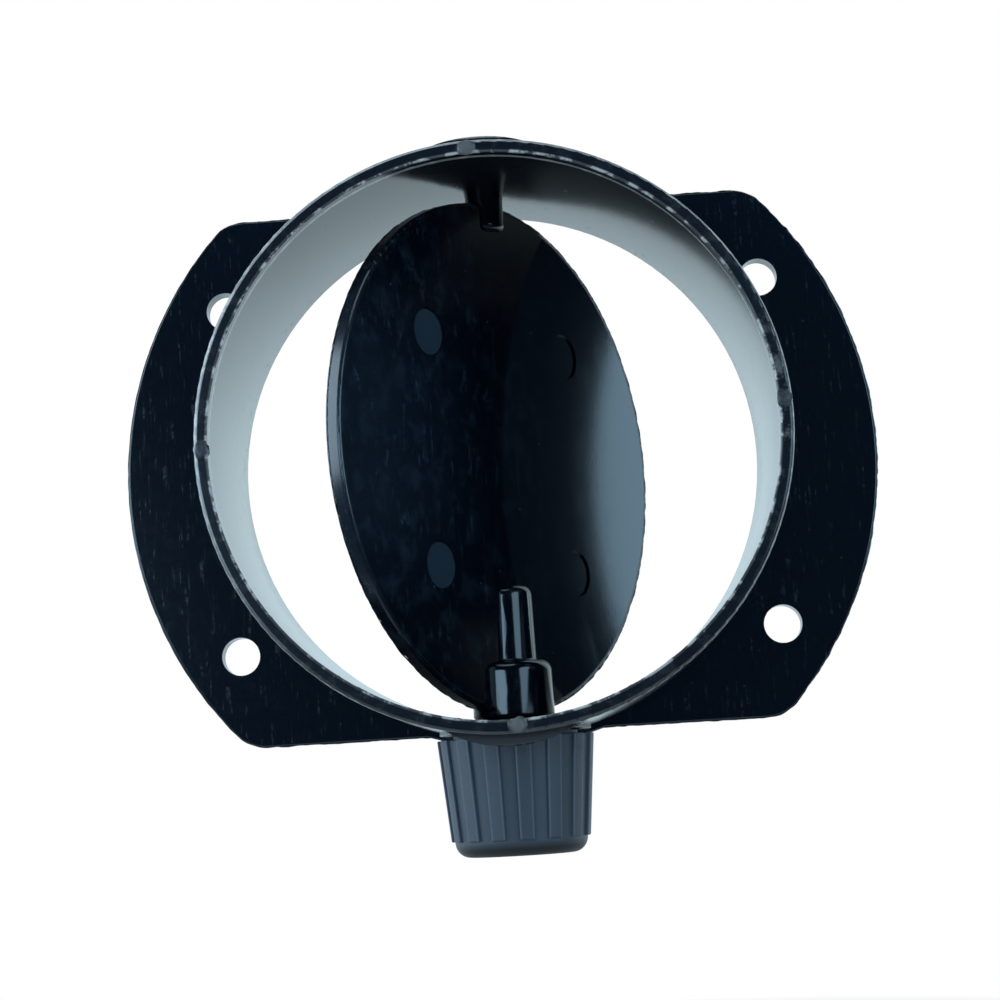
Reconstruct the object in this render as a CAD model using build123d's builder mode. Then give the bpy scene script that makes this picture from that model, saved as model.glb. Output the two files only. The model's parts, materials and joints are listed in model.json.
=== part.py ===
from build123d import *
import math
import os

# Heater duct connector: a flanged hose spigot with a butterfly flap that a ribbed knob turns.
# Millimetres. The origin is the centre of the flange's back face, on the spigot's axis.
# +X is to the right, +Y points out of the back of the flange, +Z is up, and the knob hangs below.

# Spigot tube
tube_outer_diameter = 75.0
tube_length = 34.5
tube_wall_front = 1.75
tube_wall_back = 2.2
rim_outer_radius = 0.6
rim_inner_radius = 0.2

# Flange
flange_width = 14.0
flat_inset = 1.0
flange_thickness = 3.0
flange_corner_radius = 5.5
flange_edge_radius = 0.3
root_ring_width = 0.95
fixing_hole_diameter = 5.2
fixing_offset = 6.6
fixing_angle = 33.0

# Humps that hold the hose, above and below the tube, cut level by a little off their crests
hump_width = 16.4
hump_height = 1.4
hump_length = 4.2
hump_setback = 2.8
hump_crest_trim = 0.2

# Pivot, measured forward from the flange's back face, and its clearances
pivot_setback = 11.0
running_clearance = 0.05
thrust_clearance = 0.1
socket_clearance = 0.05

# Bearing pad, a round flat on the tube's underside for the knob to turn on
pad_diameter = 20.0
pad_flat_depth = 0.8
knob_side_clearance = 0.4

# Flap
flap_gap = 1.05
flap_thickness = 2.2
flap_edge_radius = 0.5
flap_open_angle = 55.5
trunnion_diameter = 5.0
trunnion_boss_length = 3.4
trunnion_end_radius = 0.6
trunnion_end_recess = 0.3
socket_wall = 1.4
socket_roof = 1.5
socket_boss_length = 7.55
boss_gap = 0.5
boss_foot_radius = 0.6
screw_boss_wall = 1.85
screw_boss_roof = 1.6
screw_boss_length = 10.0
boss_draft_angle = 1.0
boss_shoulder_radius = 1.4
boss_shoulder_land = 0.1
boss_root_radius = 0.3
screw_boss_top_radius = 1.3
ejector_mark_diameter = 6.3
ejector_mark_depth = 0.3
ejector_mark_inset = 12.9
ejector_mark_angle = 45.0

# Spindle, part of the knob, with flats where the flap's socket takes it
spindle_diameter = 8.0
spindle_flat_depth = 0.8

# Knob
knob_top_diameter = 20.8
knob_taper_angle = 5.2
knob_height = 15.4
knob_gap = 0.65
knob_bottom_radius = 2.0
rib_count = 15
groove_angle = 12.0
rib_phase = -1.0
rib_height = 0.45
rib_root_depth = 0.45
rib_end_height = 2.1
collar_diameter = 16.4
screw_seat_thickness = 4.1
counterbore_clearance = 0.4

# Self-tapping screw that holds the knob to the flap
screw_diameter = 3.0
screw_hole_clearance = 0.3
screw_head_diameter = 6.4
screw_head_height = 2.2
screw_head_radius = 0.9
screw_point_length = 2.5
screw_point_diameter = 0.6
recess_width = 0.9
recess_span = 3.6
recess_depth = 1.1

# Sizes that follow from those above
tube_radius = tube_outer_diameter / 2
bore_front_radius = tube_radius - tube_wall_front
bore_back_radius = tube_radius - tube_wall_back
bore_slope = (bore_front_radius - bore_back_radius) / tube_length
pivot_bore_radius = bore_back_radius + bore_slope * pivot_setback
flange_radius = tube_radius + flange_width
fixing_radius = tube_radius + fixing_offset
flap_radius = pivot_bore_radius - flap_gap
pad_level = -(tube_radius - pad_flat_depth)
knob_top_level = pad_level - knob_gap
knob_bottom_level = knob_top_level - knob_height
rib_end_level = knob_bottom_level + rib_end_height
knob_top_radius = knob_top_diameter / 2
knob_slope = math.tan(math.radians(knob_taper_angle))
spindle_radius = spindle_diameter / 2
spindle_across_flats = spindle_diameter - 2 * spindle_flat_depth
boss_bottom = -(pivot_bore_radius - boss_gap)
boss_shoulder = boss_bottom + socket_boss_length
boss_top = boss_shoulder + screw_boss_length
socket_top = boss_shoulder - socket_roof
screw_radius = screw_diameter / 2
screw_seat_level = knob_top_level - screw_seat_thickness
screw_tip_level = boss_top - screw_boss_roof

pivot_point = (0, -pivot_setback, 0)
pivot_axis = Axis(pivot_point, (0, 0, 1))
open_angle = math.radians(flap_open_angle)
flap_plane = Plane(
    origin=pivot_point,
    x_dir=(math.cos(open_angle), math.sin(open_angle), 0),
    z_dir=(math.sin(open_angle), -math.cos(open_angle), 0),
)


def level_plane(level):
    """A horizontal plane centred on the pivot, turned with the flap."""
    return Plane(origin=(0, -pivot_setback, level), x_dir=flap_plane.x_dir, z_dir=(0, 0, 1))


def rib_radius(level):
    """Radius over the knob's ribs at a height, on the knob's taper."""
    return knob_top_radius - (knob_top_level - level) * knob_slope


# Hose humps: a rounded bead round the tube, kept only where a lens-shaped outline crosses it
hump_front = -tube_length + hump_setback
hump_back = hump_front + hump_length
hump_half_width = hump_width / 2
hump_chord = math.sqrt(tube_radius**2 - hump_half_width**2)
wall_middle_radius = (tube_radius + bore_front_radius) / 2
with BuildPart() as hose_humps:
    with BuildSketch(Plane.XY):
        with BuildLine():
            ThreePointArc(
                (tube_radius, hump_front),
                (tube_radius + hump_height + hump_crest_trim, (hump_front + hump_back) / 2),
                (tube_radius, hump_back),
            )
            Polyline(
                (tube_radius, hump_back),
                (wall_middle_radius, hump_back),
                (wall_middle_radius, hump_front),
                (tube_radius, hump_front),
            )
        make_face()
    revolve(axis=Axis.Y)
    with BuildSketch(Plane.XZ):
        with BuildLine():
            ThreePointArc(
                (-hump_half_width, hump_chord),
                (0, tube_radius + hump_height),
                (hump_half_width, hump_chord),
            )
            Line((hump_half_width, hump_chord), (-hump_half_width, hump_chord))
        make_face()
    extrude(amount=tube_length, mode=Mode.INTERSECT)
    mirror(about=Plane.XY)

# Duct body: flange, tube, humps and bearing pad in one moulding
with BuildPart() as duct_body:
    with BuildSketch(Plane.XZ) as flange_outline:
        Circle(flange_radius)
        Rectangle(2 * flange_radius, 2 * (tube_radius - flat_inset), mode=Mode.INTERSECT)
        fillet(flange_outline.vertices(), flange_corner_radius)
        Circle(tube_radius + root_ring_width)
        for angle in (fixing_angle, 180 - fixing_angle, 180 + fixing_angle, -fixing_angle):
            with PolarLocations(fixing_radius, 1, start_angle=angle):
                Circle(fixing_hole_diameter / 2, mode=Mode.SUBTRACT)
    extrude(amount=flange_thickness)
    fillet(duct_body.faces().sort_by(Axis.Y)[0].outer_wire().edges(), flange_edge_radius)
    with BuildSketch(Plane.XZ):
        Circle(tube_radius)
    extrude(amount=tube_length)
    add(hose_humps.part)
    with BuildSketch(level_plane(pad_level)):
        Circle(pad_diameter / 2)
    extrude(amount=-pad_level)
    with BuildSketch(level_plane(pad_level)):
        Circle(knob_top_radius + knob_side_clearance)
    extrude(amount=-tube_radius, mode=Mode.SUBTRACT)
    with BuildSketch(Plane.XY):
        with BuildLine():
            Polyline(
                (0, 0),
                (bore_back_radius, 0),
                (bore_front_radius, -tube_length),
                (0, -tube_length),
                close=True,
            )
        make_face()
    revolve(axis=Axis.Y, mode=Mode.SUBTRACT)
    with BuildSketch(level_plane(0)):
        Circle(trunnion_diameter / 2 + running_clearance)
    extrude(amount=flange_radius, mode=Mode.SUBTRACT)
    with BuildSketch(level_plane(0)):
        Circle(spindle_radius + running_clearance)
    extrude(amount=-flange_radius, mode=Mode.SUBTRACT)
    fillet(duct_body.faces().sort_by(Axis.Y)[0].edges().sort_by(SortBy.RADIUS)[-1], rim_outer_radius)
    fillet(duct_body.faces().sort_by(Axis.Y)[0].edges().sort_by(SortBy.RADIUS)[0], rim_inner_radius)
duct_body.part.label = "duct_body"

# Butterfly flap: disc, upper trunnion and stepped lower boss in one moulding
boss_slope = math.tan(math.radians(boss_draft_angle))
socket_boss_radius = spindle_radius + socket_wall
screw_boss_radius = screw_radius + screw_boss_wall
shoulder_radius = socket_boss_radius - socket_boss_length * boss_slope
shoulder_step = shoulder_radius - screw_boss_radius
shoulder_fillet = min(boss_shoulder_radius, shoulder_step - boss_root_radius - boss_shoulder_land)
trunnion_bottom = flap_radius - trunnion_boss_length
trunnion_top = tube_radius - trunnion_end_recess
with BuildPart() as butterfly_flap:
    with BuildSketch(flap_plane):
        Circle(flap_radius)
    extrude(amount=flap_thickness / 2, both=True)
    fillet(butterfly_flap.edges().filter_by(GeomType.CIRCLE), flap_edge_radius)
    with BuildSketch(flap_plane) as boss_section:
        with BuildLine():
            Polyline(
                (0, boss_bottom),
                (socket_boss_radius, boss_bottom),
                (shoulder_radius, boss_shoulder),
                (screw_boss_radius, boss_shoulder),
                (screw_boss_radius - screw_boss_length * boss_slope, boss_top),
                (0, boss_top),
                close=True,
            )
        make_face()
        fillet(boss_section.vertices().group_by(Axis.Y)[-1].sort_by(Axis.X)[-1], screw_boss_top_radius)
        fillet(boss_section.vertices().group_by(Axis.Y)[1].sort_by(Axis.X)[0], boss_root_radius)
        fillet(boss_section.vertices().group_by(Axis.Y)[1].sort_by(Axis.X)[-1], shoulder_fillet)
        fillet(boss_section.vertices().group_by(Axis.Y)[0].sort_by(Axis.X)[-1], boss_foot_radius)
    revolve(axis=pivot_axis)
    with BuildSketch(flap_plane) as trunnion_section:
        with Locations((0, trunnion_bottom)):
            Rectangle(trunnion_diameter / 2, trunnion_top - trunnion_bottom, align=(Align.MIN, Align.MIN))
        fillet(trunnion_section.vertices().group_by(Axis.Y)[0].sort_by(Axis.X)[-1], trunnion_end_radius)
    revolve(axis=pivot_axis)
    with BuildSketch(level_plane(boss_bottom)):
        Circle(spindle_radius + socket_clearance)
        Rectangle(
            spindle_diameter + 2 * socket_clearance,
            spindle_across_flats + 2 * socket_clearance,
            mode=Mode.INTERSECT,
        )
    extrude(amount=socket_top - boss_bottom, mode=Mode.SUBTRACT)
    with BuildSketch(level_plane(boss_bottom)):
        Circle(screw_radius + socket_clearance)
    extrude(amount=screw_tip_level + socket_clearance - boss_bottom, mode=Mode.SUBTRACT)
    with BuildSketch(flap_plane.offset(flap_thickness / 2)):
        with PolarLocations(flap_radius - ejector_mark_inset, 4, start_angle=ejector_mark_angle):
            Circle(ejector_mark_diameter / 2)
    extrude(amount=-ejector_mark_depth, mode=Mode.SUBTRACT)
butterfly_flap.part.label = "butterfly_flap"

# Control knob: tapered core with ribs, thrust collar, stepped spindle and screw counterbore
core_top_radius = knob_top_radius - rib_height
core_bottom_radius = rib_radius(knob_bottom_level) - rib_height
collar_level = pad_level - thrust_clearance
spindle_shoulder = boss_bottom - socket_clearance
rib_pitch = 360 / rib_count
with BuildPart() as control_knob:
    with BuildSketch(flap_plane) as core_section:
        with BuildLine():
            Polyline(
                (0, knob_bottom_level),
                (core_bottom_radius, knob_bottom_level),
                (core_top_radius, knob_top_level),
                (collar_diameter / 2, knob_top_level),
                (collar_diameter / 2, collar_level),
                (spindle_radius, collar_level),
                (spindle_radius, spindle_shoulder),
                (0, spindle_shoulder),
                close=True,
            )
        make_face()
        fillet(core_section.vertices().group_by(Axis.Y)[0].sort_by(Axis.X)[-1], knob_bottom_radius)
    revolve(axis=pivot_axis)
    for rib in range(rib_count):
        rib_start = flap_open_angle + rib_phase + rib * rib_pitch
        rib_plane = Plane(
            origin=pivot_point,
            x_dir=(math.cos(math.radians(rib_start)), math.sin(math.radians(rib_start)), 0),
            z_dir=(math.sin(math.radians(rib_start)), -math.cos(math.radians(rib_start)), 0),
        )
        with BuildSketch(rib_plane):
            with BuildLine():
                Polyline(
                    (rib_radius(rib_end_level), rib_end_level),
                    (rib_radius(knob_top_level), knob_top_level),
                    (core_top_radius - rib_root_depth, knob_top_level),
                    (rib_radius(rib_end_level) - rib_height - rib_root_depth, rib_end_level),
                    close=True,
                )
            make_face()
        revolve(axis=pivot_axis, revolution_arc=rib_pitch - groove_angle)
    with BuildSketch(level_plane(spindle_shoulder)):
        Circle(spindle_radius)
        Rectangle(spindle_diameter, spindle_across_flats, mode=Mode.INTERSECT)
    extrude(amount=socket_top - socket_clearance - spindle_shoulder)
    with BuildSketch(level_plane(knob_bottom_level)):
        Circle(screw_head_diameter / 2 + counterbore_clearance)
    extrude(amount=screw_seat_level - knob_bottom_level, mode=Mode.SUBTRACT)
    with BuildSketch(level_plane(screw_seat_level)):
        Circle(screw_radius + screw_hole_clearance)
    extrude(amount=socket_top - screw_seat_level, mode=Mode.SUBTRACT)
control_knob.part.label = "control_knob"

# Retaining screw: domed head with a cross recess, plain shank and point
head_level = screw_seat_level - screw_head_height
with BuildPart() as retaining_screw:
    with BuildSketch(flap_plane) as screw_section:
        with BuildLine():
            Polyline(
                (0, head_level),
                (screw_head_diameter / 2, head_level),
                (screw_head_diameter / 2, screw_seat_level),
                (screw_radius, screw_seat_level),
                (screw_radius, screw_tip_level - screw_point_length),
                (screw_point_diameter / 2, screw_tip_level),
                (0, screw_tip_level),
                close=True,
            )
        make_face()
        fillet(screw_section.vertices().group_by(Axis.Y)[0].sort_by(Axis.X)[-1], screw_head_radius)
    revolve(axis=pivot_axis)
    with BuildSketch(level_plane(head_level)):
        Rectangle(recess_span, recess_width)
        Rectangle(recess_width, recess_span)
    extrude(amount=recess_depth, mode=Mode.SUBTRACT)
retaining_screw.part.label = "retaining_screw"

os.makedirs("parts", exist_ok=True)
export_step(duct_body.part, "parts/duct_body.step")
export_step(butterfly_flap.part, "parts/butterfly_flap.step")
export_step(control_knob.part, "parts/control_knob.step")
export_step(retaining_screw.part, "parts/retaining_screw.step")
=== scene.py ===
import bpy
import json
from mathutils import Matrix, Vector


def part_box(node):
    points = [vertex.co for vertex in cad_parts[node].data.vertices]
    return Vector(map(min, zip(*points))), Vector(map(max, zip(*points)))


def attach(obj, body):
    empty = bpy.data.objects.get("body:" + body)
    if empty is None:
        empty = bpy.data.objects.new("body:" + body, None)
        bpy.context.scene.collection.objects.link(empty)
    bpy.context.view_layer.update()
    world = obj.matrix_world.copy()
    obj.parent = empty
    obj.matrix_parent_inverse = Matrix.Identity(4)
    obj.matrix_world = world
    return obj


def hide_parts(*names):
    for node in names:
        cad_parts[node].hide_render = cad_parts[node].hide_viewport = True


bl_info = {
    "name": "Heater Duct Connector",
    "version": (1, 0, 0),
    "blender": (4, 5, 0),
    "location": "View3D > Sidebar > Duct Connector",
    "description": "Dresses a hose spigot with its flap, ribbed knob and screw, and sets the stage",
    "category": "Object",
}

import json
import math

import bmesh
import bpy
from bpy.props import FloatProperty, FloatVectorProperty, IntProperty, PointerProperty
from mathutils import Matrix, Vector, noise

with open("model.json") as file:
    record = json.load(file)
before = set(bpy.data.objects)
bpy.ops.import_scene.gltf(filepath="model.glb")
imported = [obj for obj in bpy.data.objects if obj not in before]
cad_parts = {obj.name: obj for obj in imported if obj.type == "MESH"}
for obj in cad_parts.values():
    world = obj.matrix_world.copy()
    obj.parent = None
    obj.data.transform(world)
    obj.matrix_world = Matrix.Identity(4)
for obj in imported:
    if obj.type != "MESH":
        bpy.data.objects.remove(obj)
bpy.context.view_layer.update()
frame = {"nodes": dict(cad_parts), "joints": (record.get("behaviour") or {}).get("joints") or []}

MM = 0.001
WHITE = (1.0, 1.0, 1.0, 1.0)

# Places that come from the frame
body_low, body_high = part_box("duct_body")
knob_low, knob_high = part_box("control_knob")
pivot = Vector(frame["joints"][0]["pos_m"])
rim_level = body_low.y
flange_radius = body_high.x

# Angles of the four gates round the rim, from the right and upwards, in degrees
GATE_ANGLES = (92.0, -88.5, 180.0, 3.0)

# Level under which the bearing pad's side stands clear of the tube, in millimetres
PAD_LEVEL = -35.6

# Faces that meet at more than this angle keep a sharp edge between them
SHARP_ANGLE = math.radians(32)

# Spacing of the points along a line of flash, and the number of sides of its bead
FLASH_SPACING = 0.35 * MM
FLASH_SIDES = 6

# Each lamp's place and size in metres, and the settings that hold its power and colour
LAMPS = {
    "window_lamp": ((-0.735, -0.13, 0.2), (0.66, 0.66), "window_power", "lamp_colour"),
    "front_lamp": ((-0.4107, -0.6572, 0.03), (0.4, 0.3), "front_power", "cool_colour"),
    "side_lamp": ((0.5, -0.5, 0.1), (0.56, 0.56), "side_power", "cool_colour"),
    "back_lamp": ((0.7135, 0.3495, 0.085), (0.118, 0.25), "back_power", "cool_colour"),
    "top_lamp": ((-0.1, -0.3, 0.8), (0.5, 0.5), "top_power", "lamp_colour"),
}


# Settings


def colour_setting(name, description, default):
    """A colour that a user may change."""
    return FloatVectorProperty(
        name=name, description=description, subtype="COLOR", size=len(default), min=0.0, max=1.0,
        default=default)


def length_setting(name, description, millimetres):
    """A length, given in millimetres."""
    return FloatProperty(name=name, description=description, unit="LENGTH", default=millimetres * MM)


def place_setting(name, description, millimetres):
    """A place, given in millimetres."""
    return FloatVectorProperty(
        name=name, description=description, subtype="TRANSLATION", unit="LENGTH",
        default=[part * MM for part in millimetres])


def angle_setting(name, description, degrees):
    """An angle, given in degrees."""
    return FloatProperty(
        name=name, description=description, subtype="ANGLE", default=math.radians(degrees))


def power_setting(name, description, watts):
    """A lamp's power, in watts."""
    return FloatProperty(name=name, description=description, unit="POWER", default=watts)


class BodySettings(bpy.types.PropertyGroup):
    """Sizes, finish and moulding marks of the duct body."""

    colour: colour_setting("Colour", "Colour of the body's plastic", (0.0018, 0.0052, 0.0105, 1.0))
    scratch_colour: colour_setting(
        "Scratch Colour", "Colour of the fine scratches on the flange", (0.045, 0.06, 0.075, 1.0))
    # This colour also paints the painted highlights on the rim's outer rounding and the pad's side
    trim_and_highlight_colour: colour_setting(
        "Trim Colour", "Colour of the plastic where it was trimmed or rubbed pale", (0.46, 0.45, 0.43, 1.0))
    pad_diameter: length_setting("Pad Diameter", "Diameter of the bearing pad under the tube", 20.0)
    bore_front_diameter: length_setting(
        "Bore at the Rim", "Inside diameter of the tube at its front rim", 71.5)
    tube_diameter: length_setting("Tube Diameter", "Outside diameter of the tube", 75.0)
    flange_flat: length_setting("Flange Flat", "Height of the flange's flats above its middle", 36.5)
    flange_corner: length_setting("Flange Corner", "Radius of the flange's corners", 5.5)
    flange_thickness: length_setting("Flange Thickness", "Thickness of the flange", 3.0)
    rim_rounding: length_setting("Rim Rounding", "Rounding of the rim's outer edge", 0.6)
    bore_belly: angle_setting(
        "Bore Belly", "Lean of the bore's wall at its ends, as it bellies in between them", 3.2)
    rim_flash: length_setting("Rim Flash", "Thickness of the flash along the rim's inner edge", 0.14)
    edge_flash: length_setting("Edge Flash", "Thickness of the flash along the flange's edge", 0.16)
    gate_width: length_setting(
        "Gate Width", "Width of the marks where the gates were broken off the rim", 2.5)
    gate_height: length_setting("Gate Height", "How far the gate marks stand off the rim", 0.35)


class FlapSettings(bpy.types.PropertyGroup):
    """Sizes, finish and moulding marks of the butterfly flap."""

    colour: colour_setting("Colour", "Colour of the flap's plastic", (0.0006, 0.0020, 0.0050, 1.0))
    # This colour also paints the painted sheen on the ejector marks
    scuff_and_sheen_colour: colour_setting(
        "Scuff Colour", "Colour of the scuffs on the flap's face", (0.022, 0.038, 0.056, 1.0))
    open_angle: angle_setting(
        "Open Angle", "Turn of the flap from closed, as the photograph shows it", 55.5)
    diameter: length_setting("Diameter", "Diameter of the flap", 68.79)
    thickness: length_setting("Thickness", "Thickness of the flap", 2.2)
    edge_flash: length_setting("Edge Flash", "Thickness of the flash along the flap's edge", 0.2)
    mark_diameter: length_setting("Ejector Mark", "Diameter of the four ejector marks", 6.3)
    mark_spacing: length_setting("Mark Spacing", "Distance from one ejector mark to the next", 30.39)


class KnobSettings(bpy.types.PropertyGroup):
    """Sizes and finish of the ribbed knob."""

    colour: colour_setting("Colour", "Colour of the knob's plastic", (0.044, 0.057, 0.074, 1.0))
    top_diameter: length_setting("Top Diameter", "Diameter over the ribs at the knob's top", 20.8)
    taper: angle_setting("Taper", "Slope of the knob's side", 5.2)
    height: length_setting("Height", "Height of the ribbed grip", 15.4)
    bottom_radius: length_setting("Bottom Radius", "Rounding of the knob's lower edge", 2.0)
    rib_count: IntProperty(name="Ribs", description="Number of ribs", min=3, default=15)
    groove_angle: angle_setting("Groove Angle", "Angle of the groove from one rib to the next", 12.0)
    rib_phase: angle_setting("Rib Phase", "Angle of the first rib's side, from the flap's plane", -1.0)
    rib_height: length_setting("Rib Height", "How far the ribs stand out", 0.45)
    rib_end_height: length_setting(
        "Rib End", "Height of the ribs' lower ends above the knob's bottom", 2.1)
    rib_rounding: length_setting("Rib Rounding", "Rounding of the ribs' edges", 0.16)
    collar_diameter: length_setting("Collar Diameter", "Diameter of the thrust collar", 16.4)
    collar_height: length_setting("Collar Height", "Height of the thrust collar", 0.55)
    spindle_diameter: length_setting("Spindle Diameter", "Diameter of the spindle", 8.0)
    spindle_flats: length_setting("Spindle Flats", "Distance across the spindle's flats", 6.4)
    spindle_shoulder: length_setting(
        "Spindle Shoulder", "Height of the round part of the spindle above the knob's top", 2.3565)
    counterbore_diameter: length_setting(
        "Counterbore", "Diameter of the recess for the screw's head", 7.2)
    seat_thickness: length_setting(
        "Seat Thickness", "Depth of the screw's seat below the knob's top", 4.1)
    screw_hole_diameter: length_setting("Screw Hole", "Diameter of the hole for the screw", 3.6)


class ScrewSettings(bpy.types.PropertyGroup):
    """Finish of the retaining screw."""

    colour: colour_setting("Colour", "Colour of the plated steel", (0.52, 0.52, 0.5, 1.0))


class StageSettings(bpy.types.PropertyGroup):
    """Camera, floor and light."""

    camera_place: place_setting("Camera Place", "Where the camera stands", (8.139, -329.636, -44.92))
    camera_aim: place_setting("Camera Aim", "Point at the middle of the picture", (-0.049, -17.0, -6.44))
    camera_roll: angle_setting("Camera Roll", "Turn of the camera about its view", -3.403)
    camera_lens: FloatProperty(
        name="Lens", description="Focal length on a 36 mm sensor", unit="CAMERA", default=86.4)
    floor_drop: length_setting("Floor Drop", "Distance of the floor below the knob", 30.0)
    floor_size: length_setting("Floor Size", "Width of the floor", 8000.0)
    floor_colour: colour_setting("Floor Colour", "Colour of the pale floor", (0.82, 0.82, 0.82, 1.0))
    shadow_reach: length_setting(
        "Shadow Reach", "Distance from the part at which the floor turns plain white", 110.0)
    room_light: FloatProperty(
        name="Room Light", description="Strength of the even light from all round", min=0.0, default=0.25)
    front_colour: colour_setting(
        "Front Colour", "The dim room behind the camera, as gloss shows it", (0.012, 0.025, 0.045, 1.0))
    backdrop_colour: colour_setting(
        "Backdrop Colour", "The white backdrop, as gloss shows it", (0.72, 0.91, 1.0, 1.0))
    backdrop_rise: angle_setting(
        "Backdrop Rise", "How far up the middle of the backdrop is, seen from the part", 8.0)
    backdrop_reach: angle_setting(
        "Backdrop Reach", "Angle from the backdrop's middle to its edge, seen from the part", 63.0)
    lamp_colour: colour_setting("Lamp Colour", "Colour of the window and top lamps", (0.62, 0.82, 1.0))
    cool_colour: colour_setting(
        "Cool Colour", "Colour of the front, side and back lamps", (0.48, 0.77, 1.0))
    window_power: power_setting("Window Power", "Power of the large lamp at the left", 4.8)
    front_power: power_setting("Front Power", "Power of the lamp at the left of the camera", 1.35)
    side_power: power_setting("Side Power", "Power of the lamp at the right", 2.3)
    back_power: power_setting("Back Power", "Power of the small lamp behind the right side", 0.187)
    top_power: power_setting("Top Power", "Power of the lamp above", 1.2)


# Mesh helpers


def new_object(name, data):
    """An object in the scene for a mesh, a camera or a lamp."""
    made = bpy.data.objects.new(name, data)
    bpy.context.scene.collection.objects.link(made)
    return made


def take_mesh(bm, name):
    """A mesh made from an edited one, which is then freed."""
    mesh = bpy.data.meshes.new(name)
    bm.to_mesh(mesh)
    bm.free()
    return mesh


def evaluated_mesh(source):
    """The plain mesh of an object, with its modifiers worked out."""
    depsgraph = bpy.context.evaluated_depsgraph_get()
    return bpy.data.meshes.new_from_object(source.evaluated_get(depsgraph), depsgraph=depsgraph)


def solid_copy(node, distance=0.002 * MM):
    """A mesh for dressing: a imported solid, with its loose triangles joined into closed shells."""
    bm = bmesh.new()
    bm.from_mesh(frame["nodes"][node].data)
    bmesh.ops.remove_doubles(bm, verts=bm.verts, dist=distance)
    bmesh.ops.dissolve_degenerate(bm, edges=bm.edges, dist=distance / 10)
    return bm


def arc(centre, radius, start, end, steps):
    """Points on an arc in a plane, from one angle to another."""
    return [
        (centre[0] + radius * math.cos(start + (end - start) * k / steps),
         centre[1] + radius * math.sin(start + (end - start) * k / steps))
        for k in range(steps + 1)
    ]


def circle_points(count=240):
    """Unit circle, as pairs."""
    return [(math.cos(math.tau * k / count), math.sin(math.tau * k / count)) for k in range(count)]


def join_rings(bm, ring, after):
    """Faces from one ring of points to the next."""
    count = len(ring)
    for k in range(count):
        bm.faces.new((ring[k], ring[(k + 1) % count], after[(k + 1) % count], after[k]))


def loop_object(name, points):
    """A closed line through points, as an object for a node tree to follow."""
    mesh = bpy.data.meshes.new(name)
    edges = [(k, (k + 1) % len(points)) for k in range(len(points))]
    mesh.from_pydata([tuple(p) for p in points], edges, [])
    return new_object(name, mesh)


def add_from_tree(bm, source, tree, values):
    """Adds what a node tree makes from an object to a mesh, and deletes the object."""
    modifier = source.modifiers.new(tree.name, "NODES")
    modifier.node_group = tree
    for item in tree.interface.items_tree:
        if item.item_type == "SOCKET" and item.in_out == "INPUT" and item.name in values:
            modifier[item.identifier] = values[item.name]
    mesh = evaluated_mesh(source)
    bpy.data.objects.remove(source)
    bm.from_mesh(mesh)
    bpy.data.meshes.remove(mesh)


def finish_piece(bm, name, material, body, node):
    """Turns a dressed mesh into the piece that stands for its solid."""
    mesh = take_mesh(bm, name)
    normals = mesh.attributes.get("custom_normal")
    if normals:
        mesh.attributes.remove(normals)
    mesh.materials.clear()
    mesh.materials.append(material)
    for polygon in mesh.polygons:
        polygon.material_index = 0
    mesh.shade_smooth()
    mesh.set_sharp_from_angle(angle=SHARP_ANGLE)
    piece = new_object(name, mesh)
    flatten = piece.modifiers.new("Even Faces", "WEIGHTED_NORMAL")
    flatten.mode = "FACE_AREA_WITH_ANGLE"
    flatten.keep_sharp = True
    piece.data = evaluated_mesh(piece)
    piece.modifiers.remove(flatten)
    piece.data.name = name
    bpy.data.meshes.remove(mesh)
    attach(piece, body)
    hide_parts(node)


# Nodes


def new_tree(name, kind, inputs, outputs):
    """A node group with its sockets, and its input and output nodes."""
    tree = bpy.data.node_groups.new(name, kind)
    for label, socket in inputs:
        tree.interface.new_socket(name=label, in_out="INPUT", socket_type=socket)
    for label, socket in outputs:
        tree.interface.new_socket(name=label, in_out="OUTPUT", socket_type=socket)
    return tree, tree.nodes.new("NodeGroupInput"), tree.nodes.new("NodeGroupOutput")


def feed(tree, sockets, values):
    """Links sockets to the values that are sockets, and sets them to the rest."""
    for socket, value in zip(sockets, values):
        if isinstance(value, bpy.types.NodeSocket):
            tree.links.new(value, socket)
        else:
            socket.default_value = value


def add_math(tree, operation, *values):
    """A maths node fed by sockets or numbers, and its result."""
    node = tree.nodes.new("ShaderNodeMath")
    node.operation = operation
    feed(tree, node.inputs, values)
    return node.outputs[0]


def add_chain(tree, operation, first, *others):
    """One maths operation over several sockets or numbers, one after another."""
    result = first
    for value in others:
        result = add_math(tree, operation, result, value)
    return result


def add_weighted(tree, start, *parts):
    """A number, with each mask times its weight added to it."""
    result = start
    for mask, weight in parts:
        result = add_math(tree, "MULTIPLY_ADD", mask, weight, result)
    return result


def add_offset(tree, value, middle):
    """How far a value is from a middle, either way."""
    return add_math(tree, "ABSOLUTE", add_math(tree, "SUBTRACT", value, middle))


def add_slant(tree, first, second):
    """The distance that two distances at right angles make."""
    squares = add_math(tree, "MULTIPLY_ADD", first, first, add_math(tree, "MULTIPLY", second, second))
    return add_math(tree, "SQRT", squares)


def add_vector(tree, operation, *values):
    """A vector maths node fed by sockets or vectors, and its result."""
    node = tree.nodes.new("ShaderNodeVectorMath")
    node.operation = operation
    feed(tree, node.inputs, values)
    return node.outputs["Value" if operation in ("DOT_PRODUCT", "LENGTH", "DISTANCE") else "Vector"]


def add_scaled(tree, vector, factor):
    """A vector times a number."""
    node = tree.nodes.new("ShaderNodeVectorMath")
    node.operation = "SCALE"
    feed(tree, (node.inputs[0], node.inputs["Scale"]), (vector, factor))
    return node.outputs["Vector"]


def add_reach(tree, vector, mask):
    """The length of a vector along the axes that a mask keeps."""
    return add_vector(tree, "LENGTH", add_vector(tree, "MULTIPLY", vector, mask))


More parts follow.
